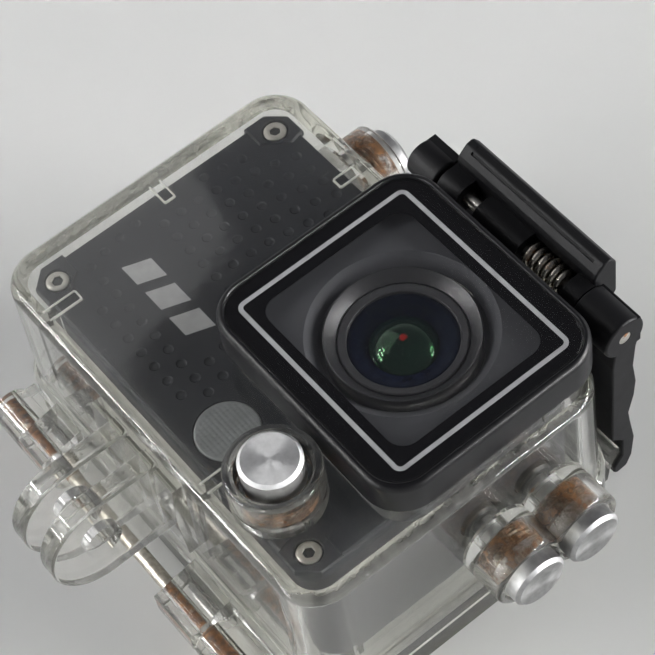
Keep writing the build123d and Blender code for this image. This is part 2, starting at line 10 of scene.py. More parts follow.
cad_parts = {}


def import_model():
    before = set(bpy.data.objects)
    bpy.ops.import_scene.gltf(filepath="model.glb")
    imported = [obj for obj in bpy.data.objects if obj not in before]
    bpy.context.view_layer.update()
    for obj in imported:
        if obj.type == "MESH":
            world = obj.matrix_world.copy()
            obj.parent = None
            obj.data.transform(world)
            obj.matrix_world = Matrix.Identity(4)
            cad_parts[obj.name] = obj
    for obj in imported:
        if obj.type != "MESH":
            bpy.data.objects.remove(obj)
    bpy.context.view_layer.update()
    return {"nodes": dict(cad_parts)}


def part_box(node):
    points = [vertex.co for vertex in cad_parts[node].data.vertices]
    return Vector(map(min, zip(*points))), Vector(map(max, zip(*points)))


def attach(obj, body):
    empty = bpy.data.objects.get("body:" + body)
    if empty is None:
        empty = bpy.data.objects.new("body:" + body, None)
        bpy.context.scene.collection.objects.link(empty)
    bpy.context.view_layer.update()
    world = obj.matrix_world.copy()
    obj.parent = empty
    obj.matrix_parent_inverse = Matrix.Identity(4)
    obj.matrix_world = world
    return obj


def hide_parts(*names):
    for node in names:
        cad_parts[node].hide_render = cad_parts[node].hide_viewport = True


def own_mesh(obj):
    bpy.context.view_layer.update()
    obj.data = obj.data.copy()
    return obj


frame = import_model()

MM = 0.001
NODES = frame["nodes"]
WHITE, BLACK = (1, 1, 1), (0, 0, 0)


# ---------------------------------------------------------------- places read from the frame
def lo_hi(node):
    """The lowest and the highest corner of a CAD node's box, in millimetres."""
    low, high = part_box(node)
    return low / MM, high / MM


def centre_of(node):
    low, high = lo_hi(node)
    return (low + high) / 2


# ---------------------------------------------------------------- node helpers
class Shader:
    """A material's node tree with a Principled shader, and short calls for what feeds it."""

    def __init__(self, name):
        self.mat = bpy.data.materials.new(name)
        self.mat.use_nodes = True
        self.tree = self.mat.node_tree
        self.tree.nodes.clear()
        self.out = self.add("OutputMaterial")
        self.main = self.add("BsdfPrincipled")
        self.link(self.main.outputs[0], self.out.inputs["Surface"])
        self.coords = self.add("TexCoord")

    def add(self, kind, **values):
        node = self.tree.nodes.new("ShaderNode" + kind)
        for key, value in values.items():
            setattr(node, key, value)
        return node

    def link(self, source, target):
        self.tree.links.new(source, target)

    def feed(self, target, value):
        if hasattr(value, "is_output"):
            self.link(value, target)
        else:
            target.default_value = value

    def set(self, **values):
        for key, value in values.items():
            self.feed(self.main.inputs[key.replace("_", " ")], value)

    def place(self, stretch=(1, 1, 1), shift=(0, 0, 0), turn=(0, 0, 0)):
        """Object coordinates in millimetres, stretched and turned."""
        node = self.add("Mapping")
        node.inputs["Scale"].default_value = [s / MM for s in stretch]
        node.inputs["Location"].default_value = shift
        node.inputs["Rotation"].default_value = turn
        self.link(self.coords.outputs["Object"], node.inputs["Vector"])
        return node.outputs[0]

    def noise(self, size, detail=3.0, roughness=0.55, shift=(0, 0, 0)):
        """Soft noise whose blotches are about size millimetres across."""
        node = self.add("TexNoise")
        self.link(self.place(shift=shift), node.inputs["Vector"])
        node.inputs["Scale"].default_value = 1.0 / size
        node.inputs["Detail"].default_value = detail
        node.inputs["Roughness"].default_value = roughness
        return node.outputs["Fac"]

    def specks(self, size, stretch=(1, 1, 1), turn=(0, 0, 0)):
        """Distance to scattered points about size millimetres apart, 0 at each point."""
        node = self.add("TexVoronoi")
        self.link(self.place(stretch, turn=turn), node.inputs["Vector"])
        node.inputs["Scale"].default_value = 1.0 / size
        return node.outputs["Distance"]

    def ramp(self, fac, low, high, colour_low=(0, 0, 0), colour_high=(1, 1, 1)):
        """One colour up to low, the other from high on, and between them a blend of both."""
        node = self.add("ValToRGB")
        node.color_ramp.elements[0].position = low
        node.color_ramp.elements[1].position = high
        node.color_ramp.elements[0].color = (*colour_low, 1)
        node.color_ramp.elements[1].color = (*colour_high, 1)
        self.link(fac, node.inputs[0])
        return node.outputs[0]

    def mix(self, fac, a, b):
        """A colour that is a where fac is 0 and b where it is 1."""
        node = self.add("Mix", data_type="RGBA")
        self.feed(node.inputs[0], fac)
        self.feed(node.inputs[6], a if hasattr(a, "is_output") else (*a, 1))
        self.feed(node.inputs[7], b if hasattr(b, "is_output") else (*b, 1))
        return node.outputs[2]

    def maths(self, operation, a, b=0.0):
        node = self.add("Math", operation=operation)
        self.feed(node.inputs[0], a)
        self.feed(node.inputs[1], b)
        return node.outputs[0]

    def span(self, fac, low, high):
        """Maps a 0-1 factor to between low and high."""
        node = self.add("MapRange")
        self.link(fac, node.inputs["Value"])
        node.inputs["To Min"].default_value = low
        node.inputs["To Max"].default_value = high
        return node.outputs[0]

    def bump(self, height, depth, strength=1.0, under=None):
        """A bump whose full height is depth millimetres."""
        node = self.add("Bump")
        node.inputs["Strength"].default_value = strength
        node.inputs["Distance"].default_value = depth * MM
        self.link(height, node.inputs["Height"])
        if under is not None:
            self.link(under, node.inputs["Normal"])
        return node.outputs[0]

    def blend(self, factor, first, second):
        """A shader that is first where factor is 0 and second where it is 1."""
        node = self.add("MixShader")
        self.feed(node.inputs[0], factor)
        self.link(first, node.inputs[1])
        self.link(second, node.inputs[2])
        return node.outputs[0]

    def surface(self, shader):
        self.link(shader, self.out.inputs["Surface"])
        return self.mat


# ---------------------------------------------------------------- materials
def hair_lines(s, size, turn, low, high, thin=0.05):
    """Fine scratches, 1 on a line and 0 between, as points drawn out along Y."""
    return s.ramp(s.specks(size, stretch=(1.0, thin, 1.0), turn=turn), low, high, WHITE, BLACK)


def clear_plastic(name, tint=(0.985, 0.985, 0.972), haze=0.05, cloud=0.11, warmth=0.0):
    """Clear moulding. It lets lamps through, and has fine scratches, haze and a film of dirt."""
    s = Shader(name)
    waviness = s.bump(s.noise(7.0, 2.0), 0.05, 0.5)
    hairs = hair_lines(s, 2.2, (0, 0, 0.7), 0.015, 0.05, thin=0.06)
    fine = s.bump(hairs, 0.01, 0.6, waviness)
    s.set(Base_Color=(*tint, 1), Roughness=s.span(s.noise(3.0, 5.0), 0.02, 0.02 + haze), IOR=1.49,
          Transmission_Weight=1.0, Normal=fine)
    film = s.add("BsdfTranslucent")
    s.link(s.ramp(s.noise(9.0, 4.0), 0.35, 0.7, (0.80, 0.79, 0.74), (0.90, 0.90, 0.88)), film.inputs[0])
    dirt = s.ramp(s.noise(2.4, 6.0, roughness=0.7), 0.45, 0.85, (0.35, 0.35, 0.35), WHITE)
    worn = s.ramp(s.noise(5.0, 3.0, shift=(9, 4, 2)), 0.45, 0.6)
    marks = s.maths("MAXIMUM", s.maths("MULTIPLY", hairs, worn), dirt)
    dirty = s.blend(s.maths("MULTIPLY", marks, cloud), s.main.outputs[0], film.outputs[0])
    through = s.add("BsdfTransparent")
    through.inputs[0].default_value = (*tint, 1)
    path = s.add("LightPath")
    lit = s.maths("MAXIMUM", path.outputs["Is Shadow Ray"], path.outputs["Is Diffuse Ray"])
    if warmth:
        depth = s.add("VolumeAbsorption")
        depth.inputs["Color"].default_value = (0.90, 0.89, 0.74, 1)
        depth.inputs["Density"].default_value = warmth
        s.link(depth.outputs[0], s.out.inputs["Volume"])
    return s.surface(s.blend(lit, dirty, through.outputs[0]))


def moulded_plastic(name, colour, rough=0.45, grain=0.25, grain_depth=0.01, dust=0.0, shine=0.3,
                    scuffs=0.0):
    """Opaque moulding with a fine grain, hair scratches and specks of dust."""
    s = Shader(name)
    shade = s.ramp(s.noise(6.0, 4.0), 0.3, 0.7, [c * 0.9 for c in colour], [c * 1.1 for c in colour])
    if scuffs:
        hairs = hair_lines(s, 2.6, (0, 0, 0.9), 0.012, 0.04)
        worn = s.maths("MULTIPLY", hairs, s.ramp(s.noise(3.0, 3.0), 0.5, 0.6))
        shade = s.mix(s.maths("MULTIPLY", worn, scuffs), shade, (0.22, 0.22, 0.22))
    if dust:
        motes = s.ramp(s.specks(0.9), 0.03, 0.06, WHITE, BLACK)
        some = s.maths("MULTIPLY", motes, s.ramp(s.noise(4.0, 3.0, shift=(31, 7, 3)), 0.45, 0.62))
        shade = s.mix(s.maths("MULTIPLY", some, dust), shade, (0.5, 0.5, 0.48))
    s.set(Base_Color=shade, Roughness=s.span(s.noise(2.0, 6.0), rough - 0.05, rough + 0.07),
          Normal=s.bump(s.noise(grain, 3.0), grain_depth, 0.3), Specular_IOR_Level=shine)
    return s.mat


def metal(name, colour, rough=0.25, rust=0.0):
    """Bare metal, with brown spots over more of it as rust rises towards 1."""
    s = Shader(name)
    shade = s.ramp(s.noise(1.2, 4.0), 0.3, 0.8, [c * 0.8 for c in colour], colour)
    rough_map = s.span(s.noise(0.6, 5.0), rough - 0.06, rough + 0.1)
    metallic = 1.0
    if rust:
        spots = s.ramp(s.noise(1.6, 6.0, roughness=0.65), 0.62 - 0.25 * rust, 0.72 - 0.2 * rust)
        brown = s.ramp(s.noise(0.5, 5.0), 0.35, 0.7, (0.09, 0.035, 0.012), (0.30, 0.13, 0.04))
        shade = s.mix(spots, shade, brown)
        rough_map = s.mix(spots, rough_map, (0.8, 0.8, 0.8))
        metallic = s.maths("SUBTRACT", 1.0, spots)
    s.set(Base_Color=shade, Roughness=rough_map, Metallic=metallic,
          Normal=s.bump(s.noise(0.25, 4.0), 0.01, 0.4))
    return s.mat


def hinge_steel():
    """Bare steel where the pin is open, brown and flaking where the knuckles hold water."""
    s = Shader("hinge_pin_rusty")
    along = s.add("SeparateXYZ")
    s.link(s.place(), along.inputs[0])
    block_low, block_high = lo_hi("mount_fingers")
    left = s.maths("LESS_THAN", along.outputs["X"], block_low.x - 9.0)
    right = s.maths("GREATER_THAN", along.outputs["X"], block_high.x - 1.4)
    held = s.maths("MAXIMUM", left, right)
    spots = s.ramp(s.noise(2.2, 6.0, roughness=0.7), 0.26, 0.42)
    rust = s.maths("MULTIPLY", held, spots)
    brown = s.ramp(s.noise(0.8, 6.0), 0.32, 0.7, (0.016, 0.006, 0.003), (0.26, 0.10, 0.02))
    steel = s.ramp(s.noise(0.7, 4.0), 0.3, 0.7, (0.34, 0.31, 0.26), (0.62, 0.59, 0.52))
    s.set(Base_Color=s.mix(rust, steel, brown), Roughness=s.mix(rust, (0.3, 0.3, 0.3), (0.75, 0.75, 0.75)),
          Metallic=s.maths("SUBTRACT", 1.0, rust), Normal=s.bump(s.noise(0.3, 5.0), 0.04, 0.5))
    return s.mat


def brushed_cap(axis):
    """Turned metal with fine circles round the button's axis; the side caps get a darker base colour,
    painted shade, and a lower roughness.
    """
    s = Shader("cap_turned_" + axis)
    # painted shade: caps that face sideways get a darker base colour than the front cap
    low, high, rough = (0.60, 0.76, 0.60) if axis == "Z" else (0.34, 0.52, 0.42)
    tangent = s.add("Tangent", direction_type="RADIAL", axis=axis)
    shade = s.ramp(s.noise(1.0, 5.0), 0.3, 0.75, (low, low, low), (high, high, high))
    scratches = hair_lines(s, 1.6, (0.3, 0.5, 0.4), 0.02, 0.06, thin=0.08)
    s.link(tangent.outputs[0], s.main.inputs["Tangent"])
    s.set(Base_Color=shade, Roughness=s.span(s.noise(0.5, 5.0), rough - 0.05, rough + 0.05), Metallic=1.0,
          Anisotropic=0.6, Normal=s.bump(scratches, 0.006, 0.7, s.bump(s.noise(0.12, 3.0), 0.004, 0.4)))
    return s.mat


def rust_film():
    """Brown stain that dried on the inside of a boss; clear where it is thin."""
    s = Shader("rust_film")
    patches = s.ramp(s.noise(2.0, 6.0, roughness=0.68), 0.38, 0.56)
    brown = s.ramp(s.noise(0.7, 5.0), 0.3, 0.7, (0.035, 0.014, 0.006), (0.26, 0.12, 0.04))
    s.set(Base_Color=brown, Roughness=0.6)
    clear = s.add("BsdfTransparent")
    return s.surface(s.blend(s.maths("MULTIPLY", patches, 0.85), clear.outputs[0], s.main.outputs[0]))


def painted_shade_film():
    """Painted shade: a black film round the mouth of the front boss, standing in for the dark reflection of
    the plate beneath.
    """
    s = Shader("painted_shade_film")
    s.set(Base_Color=(0.006, 0.005, 0.004, 1), Roughness=s.span(s.noise(0.8, 4.0), 0.12, 0.3))
    clear = s.add("BsdfTransparent")
    cover = s.ramp(s.noise(1.4, 4.0), 0.25, 0.45, (0.72, 0.72, 0.72), (0.97, 0.97, 0.97))
    return s.surface(s.blend(cover, clear.outputs[0], s.main.outputs[0]))


def frosted_edge():
    """Matt edge of a clear rib, which gathers light."""
    s = Shader("frosted_edge")
    milky = s.ramp(s.noise(0.6, 4.0), 0.3, 0.7, (0.55, 0.55, 0.53), (0.85, 0.85, 0.83))
    s.set(Base_Color=milky, Roughness=0.5)
    glow = s.add("BsdfTranslucent")
    glow.inputs[0].default_value = (0.85, 0.85, 0.82, 1)
    return s.surface(s.blend(0.5, s.main.outputs[0], glow.outputs[0]))


def simple(name, colour, rough=0.5, metallic=0.0):
    """A plain surface with soft blotches and a slight grain."""
    s = Shader(name)
    shade = s.ramp(s.noise(2.0, 4.0), 0.3, 0.7, [c * 0.88 for c in colour], [c * 1.1 for c in colour])
    s.set(Base_Color=shade, Roughness=s.span(s.noise(1.0, 5.0), rough - 0.05, rough + 0.08),
          Metallic=metallic, Normal=s.bump(s.noise(0.3, 3.0), 0.01, 0.3))
    return s.mat


def coated_glass():
    """Dark lens glass with a painted blue sheen: its colour turns bluer where it is seen at a slant."""
    s = Shader("lens_dark_glass")
    near, slant_sheen = (0.004, 0.006, 0.010), (0.006, 0.010, 0.030)
    facing = s.add("LayerWeight")
    facing.inputs["Blend"].default_value = 0.45
    # painted sheen: the base colour turns blue as the surface is seen at a slant
    tint = s.ramp(facing.outputs["Facing"], 0.05, 0.75, near, slant_sheen)
    shade = s.mix(s.ramp(s.noise(1.2, 2.0), 0.4, 0.6), tint, [c * 0.35 for c in slant_sheen])
    s.set(Base_Color=shade, Roughness=s.span(s.noise(0.8, 2.0), 0.015, 0.03),
          Specular_Tint=(0.5, 0.7, 1.0, 1), Specular_IOR_Level=0.06)
    return s.mat


def coated_dome():
    """Inner lens: a green coating, white glints on top, and a painted dim red glow at its centre, a red
    base colour with no lamp behind it.

    A ramp's stops lie between 0 and 1, so distances are scaled by reach to fit them.
    """
    s = Shader("lens_coated_element")
    apart = s.add("SeparateXYZ")
    s.link(s.place(), apart.inputs[0])
    middle = centre_of("front_lens")
    across = s.maths("POWER", s.maths("SUBTRACT", apart.outputs["X"], middle.x), 2.0)
    upward = s.maths("POWER", s.maths("SUBTRACT", apart.outputs["Y"], middle.y), 2.0)
    distance = s.maths("SQRT", s.maths("ADD", across, upward))
    cloudy = s.maths("ADD", distance, s.maths("MULTIPLY", s.noise(0.6, 3.0), 0.5))
    reach = 0.2
    # painted glow: red base colour at the centre stands in for light
    glow = s.ramp(s.maths("MULTIPLY", cloudy, reach), 0.10, 0.17, WHITE, BLACK)
    dark = s.ramp(s.maths("MULTIPLY", distance, reach), 0.24, 0.84,
                  (0.001, 0.005, 0.004), (0.003, 0.012, 0.009))
    s.set(Base_Color=s.mix(glow, dark, (0.20, 0.006, 0.006)),
          Roughness=s.span(s.noise(0.8, 2.0), 0.07, 0.09), Specular_Tint=(0.06, 0.8, 0.14, 1),
          Specular_IOR_Level=0.5, Coat_Weight=0.9, Coat_Roughness=0.0)
    return s.mat


MATERIALS = {
    "clear_housing": clear_plastic("clear_housing_plastic", warmth=14.0),
    "port_glass": clear_plastic("port_window_glass", tint=(0.99, 0.99, 0.99), haze=0.02, cloud=0.02),
    "lens_glass": clear_plastic("lens_optical_glass", tint=(0.98, 0.99, 0.98), haze=0.0, cloud=0.0),
    "bezel_black": moulded_plastic("bezel_satin_black", (0.005, 0.005, 0.006), rough=0.33,
                                   grain_depth=0.002, dust=0.2, scuffs=0.4),
    "mask_black": moulded_plastic("window_mask_black", (0.0015, 0.0015, 0.002), rough=0.6, dust=0.15,
                                  shine=0.0),
    "baffle_grey": moulded_plastic("baffle_matte_grey", (0.040, 0.041, 0.045), rough=0.75, dust=0.4,
                                   grain=0.12),
    "latch_black": moulded_plastic("latch_black_nylon", (0.006, 0.006, 0.007), rough=0.45, dust=0.2,
                                   scuffs=0.35, shine=0.22),
    "cover_charcoal": moulded_plastic("cover_charcoal", (0.013, 0.0145, 0.019), rough=0.6, dust=0.5,
                                      scuffs=0.25),
    "camera_black": moulded_plastic("camera_body_black", (0.013, 0.013, 0.016), rough=0.5, dust=0.3),
    "lens_black": moulded_plastic("lens_matte_black", (0.018, 0.018, 0.020), rough=0.55, dust=0.4),
    "lens_ring_satin": moulded_plastic("lens_ring_satin", (0.012, 0.012, 0.013), rough=0.29,
                                       grain_depth=0.001, shine=0.7, dust=0.3),
    "lens_dark": coated_glass(),
    "lens_coated": coated_dome(),
    "steel_pin": metal("pin_steel", (0.62, 0.60, 0.56), 0.3, rust=0.3),
    "hinge_steel": hinge_steel(),
    "spring_steel": metal("spring_steel", (0.60, 0.57, 0.50), 0.25, rust=0.25),
    "spring_rusty": metal("spring_rusty", (0.30, 0.25, 0.19), 0.3, rust=0.45),
    "cap_metal": metal("cap_brushed_metal", (0.72, 0.71, 0.68), 0.28),
    "clip_steel": metal("clip_steel", (0.6, 0.58, 0.55), 0.3, rust=0.4),
    "screw_nickel": metal("screw_nickel", (0.70, 0.68, 0.63), 0.3),
    "socket_metal": metal("socket_metal", (0.6, 0.6, 0.6), 0.35),
    "microphone_can": metal("microphone_can", (0.65, 0.6, 0.5), 0.35),
    "rust_film": rust_film(),
    "painted_shade_film": painted_shade_film(),
    "frosted_edge": frosted_edge(),
    "print_grey": simple("print_light_grey", (0.36, 0.36, 0.37), 0.5),
    "seal_rubber": simple("seal_rubber", (0.012, 0.012, 0.012), 0.6),
    "gasket_silicone": simple("gasket_silicone", (0.55, 0.55, 0.53), 0.5),
    "sensor_chip": simple("sensor_chip", (0.06, 0.09, 0.08), 0.2, 0.5),
    "board_green": simple("board_green", (0.02, 0.10, 0.04), 0.4),
    "battery_wrap": simple("battery_wrap", (0.03, 0.03, 0.035), 0.4),
    "memory_card_plastic": simple("memory_card_plastic", (0.02, 0.02, 0.02), 0.5),
    "display_gloss": simple("display_gloss", (0.008, 0.008, 0.01), 0.08),
    "speaker_cone": simple("speaker_cone", (0.03, 0.03, 0.03), 0.6),
    "diffuser_white": simple("diffuser_grey", (0.20, 0.21, 0.22), 0.35),
    "led_clear": simple("led_clear", (0.7, 0.7, 0.6), 0.3),
    "camera_button_black": simple("camera_button_black", (0.02, 0.02, 0.02), 0.45),
}
BUTTONS = {"front": "Z", "top": "Y", "side_a": "X", "side_b": "X"}   # and the axis that each moves along
CAPS = {axis: brushed_cap(axis) for axis in "XYZ"}
for node in NODES.values():
    for slot in node.material_slots:
        slot.material = MATERIALS[slot.material.name]
NODES["door_hinge_pin"].material_slots[0].material = MATERIALS["hinge_steel"]
for button, axis in BUTTONS.items():
    NODES[button + "_button_cap"].material_slots[0].material = CAPS[axis]


# ---------------------------------------------------------------- mesh helpers
def piece(name, mesh, material, body="root", slot=None, replaces=()):
    """Puts a mesh into the scene as a visual piece that rides on a body; the slot is not used."""
    made = bpy.data.objects.new(name, mesh)
    bpy.context.scene.collection.objects.link(made)
    mesh.materials.clear()
    mesh.materials.append(MATERIALS[material])
    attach(made, body)
    if replaces:
        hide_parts(*replaces)
    return made


def settle_shading(mesh, angle=32):
    """Smooth shading, with a crease wherever faces meet at more than angle degrees."""
    mesh.shade_smooth()
    mesh.set_sharp_from_angle(angle=radians(angle))


def welded(node):
    """A welded copy of a CAD node's mesh."""
    bm = bmesh.new()
    bm.from_mesh(NODES[node].data)
    bmesh.ops.remove_doubles(bm, verts=bm.verts, dist=0.002 * MM)
    mesh = bpy.data.meshes.new(node + "_shape")
    bm.to_mesh(mesh)
    bm.free()
    return mesh


def with_modifiers(mesh, setups):
    """Applies modifiers given as (type, settings) and returns the new mesh."""
    work = bpy.data.objects.new("work", mesh)
    bpy.context.scene.collection.objects.link(work)
    for kind, settings in setups:
        modifier = work.modifiers.new(kind, kind)
        for key, value in settings.items():
            setattr(modifier, key, value)
    graph = bpy.context.evaluated_depsgraph_get()
    result = bpy.data.meshes.new_from_object(work.evaluated_get(graph))
    bpy.data.objects.remove(work)
    return result


def circle(radius, n, x=0.0, y=0.0):
    angles = [2 * pi * i / n for i in range(n)]
    return [(x + radius * cos(a), y + radius * sin(a)) for a in angles]


def rounded_loop(half_x, half_y, corner, x=0.0, y=0.0, steps=8):
    """Points round a rectangle with round corners, counter-clockwise."""
    points = []
    for quarter, (sx, sy) in enumerate(((1, 1), (-1, 1), (-1, -1), (1, -1))):
        cx, cy = x + sx * (half_x - corner), y + sy * (half_y - corner)
        for i in range(steps + 1):
            a = (quarter + i / steps) * pi / 2
            points.append((cx + corner * cos(a), cy + corner * sin(a)))
    return points


class Builder:
    """Collects faces in millimetres and makes one mesh of them."""

    def __init__(self):
        self.bm = bmesh.new()

    def loop(self, points, z=None):
        return [self.bm.verts.new((p[0] * MM, p[1] * MM, (p[2] if z is None else z) * MM)) for p in points]

    def skin(self, loops, closed=False):
        """Quads between loops of equal length, in order."""
        pairs = list(zip(loops, loops[1:])) + ([(loops[-1], loops[0])] if closed else [])
        for a, b in pairs:
            n = len(a)
            for i in range(n):
                self.bm.faces.new((a[i], a[(i + 1) % n], b[(i + 1) % n], b[i]))

    def rounds(self, rows, x, y, steps):
        """A loop for each (radius, z), all about one upright axis at x, y."""
        return [self.loop(circle(radius, steps, x, y), z) for radius, z in rows]

    def cap(self, loop, flip=False):
        self.bm.faces.new(loop[::-1] if flip else loop)

    def fan(self, loop, z, x=None, y=None):
        """Triangles from a loop to a point at z, over the loop's middle or over x, y."""
        mid = sum((v.co for v in loop), Vector()) / len(loop)
        top = self.bm.verts.new((mid.x if x is None else x * MM, mid.y if y is None else y * MM, z * MM))
        for i in range(len(loop)):
            self.bm.faces.new((loop[i], loop[(i + 1) % len(loop)], top))

    def sheet(self, outer, holes, flip=False):
        """A flat sheet between loops that are already made."""
        flat, edges = [], []
        for ring in [outer] + holes:
            base = len(flat)
            flat += ring
            edges += [(base + i, base + (i + 1) % len(ring)) for i in range(len(ring))]
        points = [Vector((v.co.x / MM, v.co.y / MM)) for v in flat]
        made, _, faces, origin, _, _ = delaunay_2d_cdt(points, edges, [], 0, 1e-6)
        rings = [[(v.co.x / MM, v.co.y / MM) for v in ring] for ring in holes]
        border = [(v.co.x / MM, v.co.y / MM) for v in outer]
        for face in faces:
            mid = sum((made[i] for i in face), Vector((0, 0))) / len(face)
            if within(mid, border) and not any(within(mid, ring) for ring in rings):
                corners = [flat[origin[i][0]] for i in face]
                self.bm.faces.new(corners[::-1] if flip else corners)

    def finish(self, name, angle=32):
        """The collected faces as a mesh, all facing outwards."""
        bmesh.ops.recalc_face_normals(self.bm, faces=self.bm.faces)
        mesh = bpy.data.meshes.new(name)
        self.bm.to_mesh(mesh)
        self.bm.free()
        settle_shading(mesh, angle)
        return mesh


def within(point, ring):
    """Whether a point lies inside a closed outline."""
    inside = False
    px, py = point[0], point[1]
    for (x0, y0), (x1, y1) in zip(ring, ring[1:] + ring[:1]):
        if (y0 > py) != (y1 > py) and px < (x1 - x0) * (py - y0) / (y1 - y0) + x0:
            inside = not inside
    return inside


def turned(build, profile, n=96, x=0.0, y=0.0, closed=True):
    """Turns (radius, z) points about an upright axis at x, y. A radius of 0 closes the end."""
    loops = build.rounds([(r, z) for r, z in profile if r > 0], x, y, n)
    build.skin(loops, closed=closed and profile[0][0] > 0 and profile[-1][0] > 0)
    for (r, z), loop in ((profile[0], loops[0]), (profile[-1], loops[-1])):
        if r == 0:
            build.fan(loop, z, x, y)


# ---------------------------------------------------------------- clear housing
def carry_normals(mesh, sources):
    """Gives mesh the exact corner normals of the CAD meshes that its faces came from."""
    corners, faces = [], []
    for source in sources:
        data = source.data
        for polygon in data.polygons:
            base = len(corners)
            for i in polygon.loop_indices:
                point = data.vertices[data.loops[i].vertex_index].co.copy()
                corners.append((point, data.corner_normals[i].vector.copy()))
            faces.append(tuple(range(base, len(corners))))
    tree = BVHTree.FromPolygons([c[0] for c in corners], faces)
    normals = [Vector((0, 0, 1))] * len(mesh.loops)
    for polygon in mesh.polygons:
        _, _, index, _ = tree.find_nearest(polygon.center)
        face = faces[index]
        for i in polygon.loop_indices:
            point = mesh.vertices[mesh.loops[i].vertex_index].co
            weights = poly_3d_calc([corners[c][0] for c in face], point)
            normal = sum((corners[c][1] * w for c, w in zip(face, weights)), Vector())
            normals[i] = normal.normalized() if normal.dot(polygon.normal) > 0.5 else polygon.normal.copy()
    mesh.normals_split_custom_set(normals)


def clear_housing():
    """The clear shell and its mount fingers, joined so that no wall is left between them."""
    other = bpy.data.objects.new("fingers_work", welded("mount_fingers"))
    bpy.context.scene.collection.objects.link(other)
    mesh = with_modifiers(welded("housing_front_shell"), [
        ("BOOLEAN", {"operation": "UNION", "object": other, "solver": "EXACT"})])
    bpy.data.objects.remove(other)
    carry_normals(mesh, [NODES["housing_front_shell"], NODES["mount_fingers"]])
    piece("housing_clear", mesh, "clear_housing", replaces=("housing_front_shell", "mount_fingers"))


# ---------------------------------------------------------------- the camera's front cover
BODY = centre_of("camera_frame")
PORT = centre_of("port_bezel")
DIFFUSER = centre_of("light_diffuser")
FRONT_BUTTON = centre_of("front_button_cap")
PLATE_TOP, COVER_BACK = 26.1, 24.0
PLATE_HALF, PLATE_CORNER = (29.0, 20.1), 2.8
TAB_TOP, TAB_FOOT = 26.38, 25.3
SCREW_OUT = (26.5, 18.0)                 # from the middle of the plate to a screw
SCREW_SPOTS = [(BODY.x + sx * SCREW_OUT[0], BODY.y + sy * SCREW_OUT[1]) for sx in (-1, 1) for sy in (-1, 1)]
LENS_HOLE, BUTTON_HOLE = 11.1, 2.65      # radii
LAMP_POCKET, LAMP_HOLE, LAMP_SHELF = 4.42, 2.0, 25.2
DIMPLE_PITCH = (2.87, 2.82)


def dimple_spots():
    """Rows of dimples whose columns bend towards the ends of the plate."""
    spots = []
    for row in range(-6, 7):
        y = 0.98 + DIMPLE_PITCH[1] * row
        for column in range(-6, 7):
            x = -14.05 + DIMPLE_PITCH[0] * column + (y - 0.5) ** 2 / 94
            clear_of_screws = all(abs(x - sx) > 3.9 or abs(y - sy) > 3.9 for sx, sy in SCREW_SPOTS)
            clear_of_mark = not (-27.0 < x < -7.0 and -11.5 < y < -4.0)
            clear_of_tongue = not (-25.6 < x < -21.6 and y < -15.0)
            inside = BODY.x - 27.2 < x < 0.5 and abs(y - BODY.y) < 18.0
            clear_of_lamp = (x - DIFFUSER.x) ** 2 + (y - DIFFUSER.y) ** 2 > 5.8 ** 2
            clear_of_lens = (x - PORT.x) ** 2 + (y - PORT.y) ** 2 > 12.5 ** 2
            if all((inside, clear_of_screws, clear_of_lens, clear_of_lamp, clear_of_mark, clear_of_tongue)):
                spots.append((x, y))
    return spots


def plate_edge(b):
    """The plate's rounded rim and its side wall. The first loop is on top, the last at the back."""
    rows = ((0.0, PLATE_TOP), (0.12, PLATE_TOP - 0.05), (0.2, PLATE_TOP - 0.25), (0.2, 25.6), (0.3, 25.5),
            (0.42, 25.4), (0.5, 25.2), (0.5, COVER_BACK))
    side = []
    for grow, z in rows:
        half_x, half_y = PLATE_HALF[0] + grow, PLATE_HALF[1] + grow
        side.append(b.loop(rounded_loop(half_x, half_y, PLATE_CORNER + grow, BODY.x, BODY.y), z))
    b.skin(side)
    return side


def plate_holes(b):
    """Walls of the lens hole, the button hole and the lamp pocket, as (top loop, bottom loop)."""
    holes = []
    for place, radius, steps in ((PORT, LENS_HOLE, 96), (FRONT_BUTTON, BUTTON_HOLE, 32)):
        rows = ((radius + 0.15, PLATE_TOP), (radius, PLATE_TOP - 0.15), (radius, COVER_BACK))
        holes.append(b.rounds(rows, place.x, place.y, steps))
    holes.append(b.rounds(((LAMP_POCKET + 0.1, PLATE_TOP), (LAMP_POCKET, PLATE_TOP - 0.1),
                           (LAMP_POCKET, LAMP_SHELF), (LAMP_HOLE, LAMP_SHELF), (LAMP_HOLE, COVER_BACK)),
                          DIFFUSER.x, DIFFUSER.y, 64))
    for wall in holes:
        b.skin(wall)
    return [(wall[0], wall[-1]) for wall in holes]


def dimples(b):
    """Shallow round dimples. Returns their rims."""
    rims = []
    for x, y in dimple_spots():
        rings = b.rounds([(radius, PLATE_TOP - depth) for radius, depth in
                          ((0.72, 0.0), (0.67, 0.06), (0.5, 0.13), (0.25, 0.17))], x, y, 20)
        b.skin(rings)
        b.fan(rings[-1], PLATE_TOP - 0.18)
        rims.append(rings[0])
    return rims


